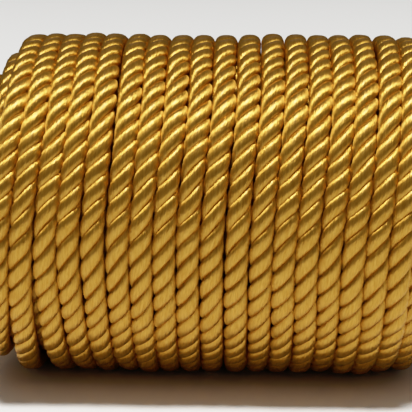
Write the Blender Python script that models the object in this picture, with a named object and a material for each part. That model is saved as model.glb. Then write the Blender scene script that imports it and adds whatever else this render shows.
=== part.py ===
"""Roll of twisted satin cord, lying on its side.

A Blender 4.5 script, in metres, +Z up. One long cord is wound in nested layers round a
removed mandrel. The roll's axis runs along X, and the origin is the middle of the small
flat on which the roll lies.
"""

import math

import bmesh
import bpy

# The cord and how it is wound
CORD_DIAMETER = 0.0050
TURN_PITCH = 0.0050
OUTER_RADIUS = 0.03925
LAYERS = 5
OUTER_TURNS = 18
LAYER_STEP = TURN_PITCH * math.sin(math.radians(60))

# Where the outer layer begins and ends, in degrees above the front, and how long, as a share
# of a turn, it takes to rise from the layer below at the left and to sink into it at the right
LAYER_START_DEGREES = -90
RISE_SHARE = 0.25
SINK_SHARE = 0.35

# Sizes that follow from them
CORD_RADIUS = CORD_DIAMETER / 2
CENTRE_RADIUS = OUTER_RADIUS - CORD_RADIUS
HALF_LENGTH = TURN_PITCH * OUTER_TURNS / 2
MIDDLE_TURN = OUTER_TURNS / 2 - SINK_SHARE

# How the roll is uneven, and how far it is pressed flat where it lies. Some turns stand
# higher, changing by so many radians a turn, and the turns lean a little more to the right
# at the top, and more so towards the right end
OVALNESS = 0.00015
TURN_RISE = 0.00015
TURN_RISE_RATE = 2.4
LEAN = 0.0005
LEAN_GROWTH = 0.0009
FLAT_DEPTH = 0.0007

# The gaps where two neighbouring turns of the outer layer part. Columns: the turn to the
# left of the gap, its angle above the front in degrees, how far it reaches each way in
# degrees, and its width in millimetres
PARTINGS = (
    (2, 12, 36, 0.9),
    (2, -76, 46, 2.4),
    (7, -6, 30, 0.4),
    (13, -40, 30, 0.4),
)
PARTING_REACH_TURNS = 1.5

# How finely the surface is drawn
ROWS = 44
CREST_SHARE = 0.12
SHOULDER_SHARE = 0.34
VALLEY_HEIGHT = 0.0004
END_MIDDLE_DEGREES = 30
END_ARC_DEGREES = (70, 26, -26, -70)
BORE_LIP_DEGREES = (-64, -90)
WELD_DISTANCE = 1e-6

CORD_GOLD = (0.42, 0.235, 0.035, 1.0)
CORD_ROUGHNESS = 0.42


def clear_scene():
    for item in list(bpy.data.objects):
        bpy.data.objects.remove(item)


def smooth_share(value):
    """0 to 1 with a soft start and end."""
    held = min(max(value, 0.0), 1.0)
    return held * held * (3 - 2 * held)


def cord_height(offset):
    """Height of the round cord above its centre line, this far to the side of it."""
    return math.sqrt(max(CORD_RADIUS**2 - offset**2, VALLEY_HEIGHT**2))


def turn_section():
    """One turn across its width, as (share of the pitch, height above the cord's centre)."""
    shares = (0.0, 0.5 - SHOULDER_SHARE, 0.5 - CREST_SHARE, 0.5 + CREST_SHARE, 0.5 + SHOULDER_SHARE)
    heights = [VALLEY_HEIGHT]
    heights += [cord_height((share - 0.5) * TURN_PITCH) for share in shares[1:]]
    return list(zip(shares, heights))


def parting_shift(turns_along, angle):
    """How far the gaps push a point of the outer layer along the axis."""
    shift = 0.0
    for left_turn, centre_deg, reach_deg, width_mm in PARTINGS:
        away_deg = (math.degrees(angle) - centre_deg + 180) % 360 - 180
        from_start = (centre_deg + away_deg - LAYER_START_DEGREES) / 360
        along = turns_along - (left_turn - 1 + from_start)
        if abs(away_deg) < reach_deg and abs(along) < PARTING_REACH_TURNS:
            opening = 0.5 * width_mm / 1000 * math.cos(away_deg / reach_deg * math.pi / 2) ** 2
            fade = 1 - abs(along) / PARTING_REACH_TURNS
            shift += math.copysign(opening * fade, along)
    return shift


def place_along(turns_along, angle):
    """x of a point of the outer layer, so many turns from its start."""
    x = TURN_PITCH * (turns_along - MIDDLE_TURN)
    lean = (LEAN + LEAN_GROWTH * x / HALF_LENGTH) * math.sin(angle)
    return x + lean + parting_shift(turns_along, angle)


def outer_layer(share, angle):
    """Points of the outer layer, left to right, as (x, radius), this share of a turn round.

    Each turn leans by one pitch in a full turn, so the end of one is the start of the next.
    The first turn rises from the layer below and the last sinks into it."""
    rise = smooth_share(share / RISE_SHARE)
    sink = 1 - smooth_share(share / SINK_SHARE)
    points = []
    for turn in range(OUTER_TURNS + 1):
        width = rise if turn == 0 else sink if turn == OUTER_TURNS else 1.0
        start = share - rise if turn == 0 else turn - 1 + share
        wave = TURN_RISE * width * math.sin(TURN_RISE_RATE * (start + width / 2))
        for across, height in turn_section():
            along = start + across * width
            raised = VALLEY_HEIGHT + (height - VALLEY_HEIGHT) * width
            swell = wave * math.sin(across * math.pi)
            points.append((place_along(along, angle), CENTRE_RADIUS + raised + swell))
    edge = OUTER_TURNS - 1 + share + sink
    points.append((place_along(edge, angle), CENTRE_RADIUS + VALLEY_HEIGHT))
    return points


def end_face(side, edge_x):
    """Points down one end, from the outer layer to the bore, as (x, radius).

    Each layer below reaches half a pitch further out than the one above, so the end is a
    cone of rounded turns. The upper ones follow the outer layer's edge at edge_x."""
    points = []
    for layer in range(1, LAYERS):
        follow = (edge_x - side * HALF_LENGTH) / 2**layer
        centre_x = side * (HALF_LENGTH + TURN_PITCH * (layer - 1) / 2) + follow
        centre_r = CENTRE_RADIUS - layer * LAYER_STEP
        arc = [END_MIDDLE_DEGREES + degrees for degrees in END_ARC_DEGREES]
        if layer == LAYERS - 1:
            arc = arc[:-1] + list(BORE_LIP_DEGREES)
        for degrees in arc:
            x = centre_x + side * CORD_RADIUS * math.cos(math.radians(degrees))
            points.append((x, centre_r + CORD_RADIUS * math.sin(math.radians(degrees))))
    return points


def row_angle(row):
    """Angle of a row above the front, in radians."""
    return math.radians(LAYER_START_DEGREES) + math.tau * row / ROWS


def section_loop(row):
    """The whole section of the winding at one row, as a closed loop of (x, radius)."""
    outer = outer_layer(row / ROWS, row_angle(row))
    right_end = end_face(1, outer[-1][0])
    left_end = end_face(-1, outer[0][0])
    return outer + right_end + left_end[::-1]


def place(x, radius, row):
    """A point of the section in space, pressed flat where the roll lies."""
    angle = row_angle(row)
    oval = OVALNESS * math.cos(2 * angle) * radius / OUTER_RADIUS
    y = -(radius + oval) * math.cos(angle)
    z = (radius + oval) * math.sin(angle)
    axis_height = OUTER_RADIUS - FLAT_DEPTH
    return x, y, max(z, -axis_height) + axis_height


def satin_cord():
    material = bpy.data.materials.new("satin_cord")
    material.use_nodes = True
    shader = material.node_tree.nodes["Principled BSDF"]
    shader.inputs["Base Color"].default_value = CORD_GOLD
    shader.inputs["Roughness"].default_value = CORD_ROUGHNESS
    shader.inputs["Metallic"].default_value = 0.0
    return material


def wound_cord(collection):
    """The roll, as a flat grid wrapped round the axis and welded one pitch along."""
    loops = [section_loop(row) for row in range(ROWS + 1)]
    columns = len(loops[0])
    body = bmesh.new()
    bmesh.ops.create_grid(body, x_segments=columns, y_segments=ROWS, size=0.5)
    for point in body.verts:
        column = round((point.co.x + 0.5) * columns) % columns
        row = round((point.co.y + 0.5) * ROWS)
        x, radius = loops[row][column]
        point.co = place(x, radius, row)
    bmesh.ops.remove_doubles(body, verts=body.verts, dist=WELD_DISTANCE)
    bmesh.ops.recalc_face_normals(body, faces=body.faces)
    mesh = bpy.data.meshes.new("cord_roll")
    body.to_mesh(mesh)
    body.free()
    mesh.shade_smooth()
    mesh.materials.append(satin_cord())
    roll = bpy.data.objects.new("cord_roll", mesh)
    collection.objects.link(roll)
    return roll


def main():
    clear_scene()
    collection = bpy.data.collections.new("roll_of_cord")
    bpy.context.scene.collection.children.link(collection)
    wound_cord(collection)


main()
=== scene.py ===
import math

import bpy
import numpy as np
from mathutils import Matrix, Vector


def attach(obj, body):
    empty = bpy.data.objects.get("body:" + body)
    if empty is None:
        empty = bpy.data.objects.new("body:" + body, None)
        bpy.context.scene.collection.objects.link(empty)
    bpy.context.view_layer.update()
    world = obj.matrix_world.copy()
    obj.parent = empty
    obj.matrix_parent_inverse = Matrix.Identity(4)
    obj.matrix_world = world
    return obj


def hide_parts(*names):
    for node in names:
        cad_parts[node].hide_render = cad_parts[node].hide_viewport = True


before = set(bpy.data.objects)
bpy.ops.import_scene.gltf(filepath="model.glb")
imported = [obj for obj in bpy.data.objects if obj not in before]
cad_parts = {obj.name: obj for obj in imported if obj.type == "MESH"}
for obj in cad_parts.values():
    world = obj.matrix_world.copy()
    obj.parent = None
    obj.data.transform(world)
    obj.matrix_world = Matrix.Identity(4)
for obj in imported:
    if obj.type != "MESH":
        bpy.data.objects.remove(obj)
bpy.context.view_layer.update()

# The winding
# One satin cord is wound round a tube, layer on layer, each layer back over the one below,
# and the tube is drawn out. A layer's turns lie in the hollows of the layer below, so every
# layer is a turn shorter and both ends slope. At each end the cord climbs to the next layer.
# Sizes are in mm, angles of the winding in turns
MM = 0.001
CORD_WIDTH = 5.0
PITCH = 5.0
OUTER_LAYER = 36.75
LAYER_STEP = PITCH * math.sin(math.radians(60))
LAYERS = 5
OUTER_TURNS = 18.3
START_TURN = -0.25
CLIMB = 0.25
AXIS_HEIGHT = 38.55

# How far each turn of the outer layer lies to the right of its even place, and how far it
# stands proud. Columns: turn, shift at the bottom, at the lower front, at the front, at the
# upper front and at the top, rise at the bottom and at the top
UNEVEN_TURNS = (
    (0, -1.5, -1.0, -1.2, 1.2, 1.6, -0.3, 0.0),
    (1, -2.3, -1.6, -1.2, 0.9, 0.6, -0.3, 0.2),
    (2, 1.2, -0.1, -1.0, 0.9, 0.1, -0.3, 0.2),
    (3, 1.3, 0.1, -1.3, 0.5, -0.3, -0.3, 0.3),
    (4, 0.9, 0.0, -1.1, 0.3, -0.6, -0.1, 0.2),
    (5, 0.9, -0.1, -0.8, 0.7, -0.2, -0.1, 0.2),
    (6, 0.5, -0.2, -0.9, 0.6, -0.5, 0.2, 0.0),
    (7, 0.0, -0.3, -0.9, 0.6, -0.2, -0.1, 0.1),
    (8, -0.5, -0.4, -0.9, 0.8, -0.2, -0.1, 0.0),
    (9, -0.8, -0.4, -1.0, 0.9, 0.0, -0.1, 0.0),
    (10, -0.2, -0.3, -0.7, 1.0, 0.3, 0.0, 0.0),
    (11, -0.5, -0.1, -0.6, 1.1, 0.6, -0.3, 0.2),
    (12, -1.1, 0.0, -0.7, 1.2, 0.9, -0.1, 0.2),
    (13, -0.9, -0.1, -0.9, 1.5, 1.1, 0.0, 0.0),
    (14, -1.0, -0.5, -1.0, 1.5, 0.9, -0.3, 0.1),
    (15, -1.2, -0.8, -1.1, 1.2, 0.9, 0.3, 0.0),
    (16, -2.1, -1.1, -1.3, 1.1, 1.4, 0.4, -0.1),
    (17, -2.9, -1.4, -1.4, 0.7, 1.4, -0.2, -0.5),
    (18, -2.4, -1.4, -1.4, 0.6, 1.0, -0.6, -0.5),
)
SHIFT_PLACES = (0, 0.14, 0.25, 0.37, 0.5)
RISE_PLACES = (0, 0.5)
CURVE_SAMPLES = 1600
SHIFT_SOFTNESS = 5
RISE_SOFTNESS = 20

# The end of the outer layer slips to the left and down between the last turns
TUCK_START = 18.0
TUCK_TURNS = 0.3
TUCK_ASIDE = 2.6
TUCK_DEPTH = 3.6

# No hand lays a cord quite evenly: each layer wavers a little, and the roll sags a little oval
RISE_WAVER, RISE_WAVER_RATE = 0.07, 7.3
SIDE_WAVER, SIDE_WAVER_RATE = 0.08, 5.1
OVAL = 0.004


def eased(value):
    """0 to 1 along an S-shaped curve, and held outside it."""
    held = np.clip(value, 0.0, 1.0)
    return held * held * (3 - 2 * held)


def layer_turns(layer):
    return OUTER_TURNS + layer


def layer_start(layer):
    """Turns from the front, upwards, at which a layer begins. Layer 0 is the outer one."""
    return START_TURN - sum(layer_turns(below) for below in range(1, layer + 1))


def softly(turn, knots, values, width):
    """Values given at some turns, read between them along a curve softened over width samples."""
    fine = np.linspace(knots[0], knots[-1], CURVE_SAMPLES)
    window = np.hanning(2 * width + 1)
    straight = np.pad(np.interp(fine, knots, values), width, mode="edge")
    return np.interp(turn, fine, np.convolve(straight, window / window.sum(), mode="valid"))


def unevenness(turn):
    """Sideways shift and rise of the outer layer, turn turns from its start."""
    shift_knots, shifts, rise_knots, rises = [], [], [], []
    for number, *row in UNEVEN_TURNS:
        shift_knots += [number + place for place in SHIFT_PLACES]
        shifts += row[: len(SHIFT_PLACES)]
        rise_knots += [number + place for place in RISE_PLACES]
        rises += row[len(SHIFT_PLACES) :]
    return (
        softly(turn, shift_knots, shifts, SHIFT_SOFTNESS),
        softly(turn, rise_knots, rises, RISE_SOFTNESS),
    )


def cord_centre(layer, turn):
    """Centre line of the cord in mm, turn turns into a layer."""
    way = 1 if layer % 2 == 0 else -1
    half = PITCH * layer_turns(layer) / 2
    radius = np.full_like(turn, OUTER_LAYER - layer * LAYER_STEP)
    x = way * (PITCH * turn - half)
    if layer < LAYERS - 1:
        # The cord rolls up and over the last turn of the layer below
        share = eased(turn / CLIMB)
        roll = math.pi - share * math.pi / 2
        reach = CORD_WIDTH + (LAYER_STEP - CORD_WIDTH) * share
        below_x = -way * (half - PITCH / 2 + PITCH * turn)
        climbing = turn < CLIMB
        x = np.where(climbing, below_x + way * reach * np.cos(roll), x)
        radius = np.where(climbing, radius - LAYER_STEP + reach * np.sin(roll), radius)
    if layer == 0:
        shift, rise = unevenness(turn)
        tuck = eased((turn - TUCK_START) / TUCK_TURNS)
        x = x + shift - TUCK_ASIDE * tuck
        radius = radius + rise - TUCK_DEPTH * tuck
    radius = radius + RISE_WAVER * np.sin(RISE_WAVER_RATE * turn + layer)
    x = x + SIDE_WAVER * np.sin(SIDE_WAVER_RATE * turn + 2 * layer)
    angle = math.tau * (layer_start(layer) + turn)
    radius = radius * (1 + OVAL * np.cos(2 * angle))
    return np.stack([x, -radius * np.cos(angle), AXIS_HEIGHT + radius * np.sin(angle)], axis=1)


# The strands
# Three strands of satin filament are laid together right-handed. Each is twisted the other
# way, so its filaments lie nearly along the cord. They are soft, so they bulge and meet in
# narrow grooves, the turns press each other a little square and the table presses them flat.
LAY = 13.7
STRANDS = 3
STRAND_OFFSET = 1.36
STRAND_DEPTH = 1.24
STRAND_SPREAD = 1.5
STRAND_POWER = 2.2
PRESS_POWER = 2.8
FLAT_SOFTNESS = 0.3

# The lay drifts over long stretches and shivers over short ones: radians, and mm per radian
LAY_DRIFT, LAY_DRIFT_LENGTH = 0.25, 41
LAY_SHIVER, LAY_SHIVER_LENGTH = 0.16, 5.3
SHIVER_DRIFT, SHIVER_DRIFT_LENGTH = 1.7, 17

# A strand swells and thins along its length: share, mm per radian, step from strand to strand
PLUMP_WAVES = ((0.05, 1.3, 2.1), (0.06, 3.7, 1.3))

# The UV map is in mm, across and along the filaments, which lie tilted on the strand. They
# wander a little sideways, so their sheen breaks up: mm, waves along the strand and round it
FILAMENT_TILT = math.radians(44)
FILAMENT_WANDER = ((0.06, 1.9, 0.8), (0.03, 4.7, -1.7))
STRAND_RADIUS = 1.4
LAYER_GAP = 97.0


def unit(vectors):
    return vectors / np.linalg.norm(vectors, axis=1, keepdims=True)


def across(vectors, along):
    """The part of each vector that is square to along, at length 1."""
    return unit(vectors - np.sum(vectors * along, axis=1, keepdims=True) * along)


def squared(one, other, power):
    """How far a round section's point moves out to make the section a soft square."""
    never_zero = 1e-9
    size = np.hypot(one, other) + never_zero
    return (np.abs(one / size) ** power + np.abs(other / size) ** power) ** (-1 / power)


def strand_skin(layer, first, last, step, sides, strand):
    """Points of one strand along part of a layer, ring by ring, and its length at each ring."""
    radius = OUTER_LAYER - layer * LAYER_STEP
    rings = int(math.tau * radius * (last - first) / step)
    turn = np.linspace(first, last, rings)
    length = math.tau * radius * turn

    # The cord's own directions, and where the strand's middle lies round its centre
    centre = cord_centre(layer, turn)
    along = unit(np.gradient(centre, axis=0))
    outward = centre.copy()
    outward[:, 0] = 0
    outward[:, 2] -= AXIS_HEIGHT
    outward = across(outward, along)
    aside = np.cross(along, outward)
    shiver_phase = SHIVER_DRIFT * np.sin(length / SHIVER_DRIFT_LENGTH)
    lay_angle = (
        math.tau * (length / LAY + strand / STRANDS)
        + LAY_DRIFT * np.sin(length / LAY_DRIFT_LENGTH)
        + LAY_SHIVER * np.sin(length / LAY_SHIVER_LENGTH + shiver_phase)
    )
    swing = np.cos(lay_angle)[:, None] * outward + np.sin(lay_angle)[:, None] * aside
    middle = centre + STRAND_OFFSET * swing

    # The strand's section, wider than deep and softly squared
    heading = unit(np.gradient(middle, axis=0))
    out = across(swing, heading)
    side = np.cross(heading, out)
    around = np.linspace(-math.pi, math.pi, sides, endpoint=False)
    fuller = squared(np.cos(around), np.sin(around), STRAND_POWER)
    plump = np.ones_like(length)
    for share, reach, offset in PLUMP_WAVES:
        plump = plump + share * np.sin(length / reach + offset * strand)
    deep = STRAND_DEPTH * (plump[:, None] * fuller * np.cos(around))[:, :, None]
    broad = STRAND_SPREAD * (plump[:, None] * fuller * np.sin(around))[:, :, None]
    points = middle[:, None, :] + deep * out[:, None, :] + broad * side[:, None, :]

    # The neighbouring turns press the whole cord a little square
    from_centre = points - centre[:, None, :]
    up = np.sum(from_centre * outward[:, None, :], axis=2)
    wide = np.sum(from_centre * aside[:, None, :], axis=2)
    press = (squared(up, wide, PRESS_POWER) - 1)[:, :, None]
    pressed = up[:, :, None] * outward[:, None, :] + wide[:, :, None] * aside[:, None, :]
    points = points + press * pressed

    # The table presses what hangs below it flat
    height = points[:, :, 2]
    points[:, :, 2] = 0.5 * (height + np.sqrt(height**2 + FLAT_SOFTNESS**2))
    steps = np.linalg.norm(np.diff(middle, axis=0), axis=1)
    return points, np.concatenate([[0], np.cumsum(steps)])


def strand_mesh(name, stretches, strand):
    """One strand as a mesh of tubes, one tube for each stretch of the cord."""
    all_points, all_faces, all_uvs = [], [], []
    start = 0
    for layer, first, last, step, sides in stretches:
        points, length = strand_skin(layer, first, last, step, sides, strand)
        rings = len(length)
        ring, side = np.meshgrid(np.arange(rings - 1), np.arange(sides), indexing="ij")
        after = (side + 1) % sides
        corners = (
            (ring * sides + side, ring, side),
            (ring * sides + after, ring, side + 1),
            ((ring + 1) * sides + after, ring + 1, side + 1),
            ((ring + 1) * sides + side, ring + 1, side),
        )
        faces = np.stack([corner[0] for corner in corners], axis=2).reshape(-1, 4) + start
        skin = math.tau * STRAND_RADIUS / sides
        uvs = []
        for _, at_ring, at_side in corners:
            run = length[at_ring] + LAYER_GAP * layer
            girth = skin * (at_side - sides / 2)
            over = run * math.sin(FILAMENT_TILT) + girth * math.cos(FILAMENT_TILT)
            for wander, by_run, by_girth in FILAMENT_WANDER:
                over = over + wander * np.sin(by_run * run + by_girth * girth)
            down = run * math.cos(FILAMENT_TILT) - girth * math.sin(FILAMENT_TILT)
            uvs.append(np.stack([over, down], axis=2))
        all_uvs.append(np.stack(uvs, axis=2).reshape(-1, 2))
        all_points.append(points.reshape(-1, 3))
        all_faces.append(faces)
        start += rings * sides
    points = np.concatenate(all_points) * MM
    faces = np.concatenate(all_faces)
    mesh = bpy.data.meshes.new(name)
    mesh.vertices.add(len(points))
    mesh.vertices.foreach_set("co", points.astype(np.float32).ravel())
    mesh.loops.add(faces.size)
    mesh.loops.foreach_set("vertex_index", faces.astype(np.int32).ravel())
    mesh.polygons.add(len(faces))
    mesh.polygons.foreach_set("loop_start", np.arange(0, faces.size, 4, dtype=np.int32))
    mesh.update(calc_edges=True)
    filaments = mesh.uv_layers.new(name="filaments")
    filaments.data.foreach_set("uv", np.concatenate(all_uvs).astype(np.float32).ravel())
    mesh.shade_smooth()
    mesh.validate()
    return mesh


# The satin
# Viscose filament, spun smooth, dyed gold and laid side by side with hardly any twist or fuzz.
# The bundle shines in its own colour like brushed metal: each strand carries a soft streak of
# light across its filaments, and turns a deep brown where it dips into a groove.
SATIN_DARK = "#B57F21"
SATIN_LIGHT = "#DAAA50"

# A filament is some 0.02 mm thick, too fine to show. It is drawn as coarser streaks, about
# 0.3 mm wide and 3 mm long, with relief in metres
STREAKS_PER_MM_ACROSS = 3.4
STREAKS_PER_MM_ALONG = 0.35
STREAK_RELIEF = 0.00016


def linear(hex_colour):
    """A linear colour from an sRGB hex value."""
    parts = [int(hex_colour[at : at + 2], 16) / 255 for at in (1, 3, 5)]
    light = [((part + 0.055) / 1.055) ** 2.4 if part > 0.04045 else part / 12.92 for part in parts]
    return (*light, 1.0)


def add_node(tree, kind, links=(), **settings):
    """A node with its settings, and links given as (its input, other node, other output)."""
    node = tree.nodes.new(kind)
    for key, value in settings.items():
        if hasattr(node, key):
            setattr(node, key, value)
        else:
            node.inputs[key.replace("_", " ")].default_value = value
    for socket, other, output in links:
        tree.links.new(other.outputs[output], node.inputs[socket])
    return node


def satin_filament():
    """Viscose is no metal, but a bundle of it is matched best by one with a thin clear coat."""
    material = bpy.data.materials.new("satin_viscose_filament")
    material.use_nodes = True
    tree = material.node_tree
    shader = tree.nodes["Principled BSDF"]
    for socket, value in (
        ("Metallic", 0.85),
        ("Roughness", 0.44),
        ("Anisotropic", 0.95),
        ("Coat Weight", 0.15),
        ("Coat Roughness", 0.3),
        ("IOR", 1.75),
    ):
        shader.inputs[socket].default_value = value
    uv = add_node(tree, "ShaderNodeUVMap", uv_map="filaments")
    stretch = add_node(tree, "ShaderNodeMapping", [("Vector", uv, "UV")])
    stretch.inputs["Scale"].default_value = (STREAKS_PER_MM_ACROSS, STREAKS_PER_MM_ALONG, 1.0)
    streaks = add_node(
        tree,
        "ShaderNodeTexNoise",
        [("Vector", stretch, "Vector")],
        noise_dimensions="2D",
        Scale=1.0,
        Detail=3.0,
        Roughness=0.6,
    )
    bump = add_node(
        tree, "ShaderNodeBump", [("Height", streaks, "Fac")], Strength=1.0, Distance=STREAK_RELIEF
    )
    tint = add_node(tree, "ShaderNodeValToRGB", [("Fac", streaks, "Fac")])
    for element, position, colour in zip(
        tint.color_ramp.elements, (0.15, 0.85), (SATIN_DARK, SATIN_LIGHT)
    ):
        element.position = position
        element.color = linear(colour)
    # The sheen spreads across the filaments, which is the first direction of the UV map
    tangent = add_node(tree, "ShaderNodeTangent", direction_type="UV_MAP", uv_map="filaments")
    tree.links.new(tint.outputs["Color"], shader.inputs["Base Color"])
    tree.links.new(bump.outputs["Normal"], shader.inputs["Normal"])
    tree.links.new(tangent.outputs["Tangent"], shader.inputs["Tangent"])
    return material


satin = satin_filament()

# The pieces
# Each strand comes in two pieces: its turns in the outer layer, and what can be seen of it in
# the layers under that, at both ends and in the open middle. They all stand in for one solid.
# Stretches: layer, first turn, last turn, mm between rings, sides of the tube. The layer just
# under the outer one is drawn coarser where only gaps show it, the next two not at all
OUTER_STRETCH = ((0, 0.0, 18.32, 0.8, 14),)
INNER_STRETCHES = (
    (1, 0.0, 2.0, 0.95, 12),
    (1, 2.0, 14.0, 1.8, 6),
    (1, 14.0, 19.3, 0.95, 12),
    (2, 0.0, 1.6, 0.95, 12),
    (2, 18.7, 20.3, 0.95, 12),
    (3, 0.0, 1.6, 0.95, 12),
    (3, 19.7, 21.3, 0.95, 12),
    (4, 0.0, 22.3, 1.15, 9),
)
for strand in range(STRANDS):
    for place, stretches in (("outer", OUTER_STRETCH), ("under", INNER_STRETCHES)):
        name = f"{place}_strand_{strand + 1}"
        mesh = strand_mesh(name, stretches, strand)
        mesh.materials.append(satin)
        piece = bpy.data.objects.new(name, mesh)
        bpy.context.scene.collection.objects.link(piece)
        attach(piece, "root")
        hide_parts("cord_roll")

# The table
# A plain table top under the roll, covered with matt white paper. Uncoated paper scatters
# light evenly, so it shows a clean near-white and a soft shadow. Its half width is in metres
TABLE_REACH = 3.0
PAPER_WHITE = "#ECEBE8"
table_mesh = bpy.data.meshes.new("table_top")
table_corners = [(x * TABLE_REACH, y * TABLE_REACH, 0) for x, y in ((-1, -1), (1, -1), (1, 1), (-1, 1))]
table_mesh.from_pydata(table_corners, [], [(0, 1, 2, 3)])
table = bpy.data.objects.new("table_top", table_mesh)
bpy.context.scene.collection.objects.link(table)
paper = bpy.data.materials.new("matt_white_paper")
paper.use_nodes = True
paper_shader = paper.node_tree.nodes["Principled BSDF"]
paper_shader.inputs["Base Color"].default_value = linear(PAPER_WHITE)
paper_shader.inputs["Roughness"].default_value = 0.9
table_mesh.materials.append(paper)

# The light
# A small soft key almost overhead makes the streaks on the satin and leaves the grooves dark.
# A broad weak light and a dim, slightly warm room fill the rest.
# Lights: name, azimuth and elevation in degrees, distance, width and height in m, watts
LIGHTS = (
    ("key", -8, 78, 3.0, 0.5, 0.35, 122),
    ("top", 0, 60, 3.0, 2.6, 1.6, 8),
)
ROOM_COLOUR = (1.0, 0.99, 0.97, 1.0)
ROOM_STRENGTH = 0.14


def direction(azimuth, elevation):
    """Unit vector from the roll, azimuth counted from the front to the right, in degrees."""
    turn, lift = math.radians(azimuth), math.radians(elevation)
    return Vector(
        (math.sin(turn) * math.cos(lift), -math.cos(turn) * math.cos(lift), math.sin(lift))
    )


def aim(item, target):
    """Turns a lamp or the camera towards a point, given in metres."""
    item.rotation_euler = (Vector(target) - item.location).to_track_quat("-Z", "Y").to_euler()


def soft_light(name, azimuth, elevation, distance, width, height, watts):
    """A rectangular lamp that points at the middle of the roll."""
    data = bpy.data.lights.new(name, "AREA")
    data.shape = "RECTANGLE"
    data.size = width
    data.size_y = height
    data.energy = watts
    item = bpy.data.objects.new(name, data)
    item.location = direction(azimuth, elevation) * distance
    bpy.context.scene.collection.objects.link(item)
    aim(item, (0, 0, AXIS_HEIGHT * MM))


for light in LIGHTS:
    soft_light(*light)

world = bpy.data.worlds.new("studio")
bpy.context.scene.world = world
world.use_nodes = True
background = world.node_tree.nodes["Background"]
background.inputs["Color"].default_value = ROOM_COLOUR
background.inputs["Strength"].default_value = ROOM_STRENGTH

# The camera
# A long lens a little above the roll, in degrees and mm. Its focal length is given in pixels
# of the square picture, so it holds for any size of sensor.
CAMERA_AZIMUTH = 2.0
CAMERA_ELEVATION = 13.0
CAMERA_DISTANCE = 345.0
CAMERA_AIM = (-2.8, 0.0, AXIS_HEIGHT - 0.7)
FOCAL_PIXELS = 1473.0
PHOTO_PIXELS = 412
SENSOR_WIDTH = 36.0
camera_data = bpy.data.cameras.new("camera")
camera_data.sensor_width = SENSOR_WIDTH
camera_data.lens = FOCAL_PIXELS / PHOTO_PIXELS * SENSOR_WIDTH
camera = bpy.data.objects.new("camera", camera_data)
away = direction(CAMERA_AZIMUTH, CAMERA_ELEVATION)
camera.location = (Vector(CAMERA_AIM) + away * CAMERA_DISTANCE) * MM
aim(camera, Vector(CAMERA_AIM) * MM)
bpy.context.scene.collection.objects.link(camera)
bpy.context.scene.camera = camera

# The tones
# The picture's own tone curve, as a camera draws it: the darkest grooves fall off to black,
# the middle tones stay nearly as they are, and the highlights roll off softly and keep gold.
# Points: light in the scene, and how bright it is shown
BRIGHTEST = 3.0
TONES = (
    (0.01, 0.003),
    (0.04, 0.026),
    (0.09, 0.072),
    (0.2, 0.185),
    (0.35, 0.33),
    (0.6, 0.52),
    (1.0, 0.76),
    (1.6, 0.91),
)
view = bpy.context.scene.view_settings
view.view_transform = "Standard"
view.use_curve_mapping = True
view.curve_mapping.white_level = (BRIGHTEST, BRIGHTEST, BRIGHTEST)
all_channels = view.curve_mapping.curves[3]
for light, shown in TONES:
    all_channels.points.new(light / BRIGHTEST, shown)
view.curve_mapping.update()
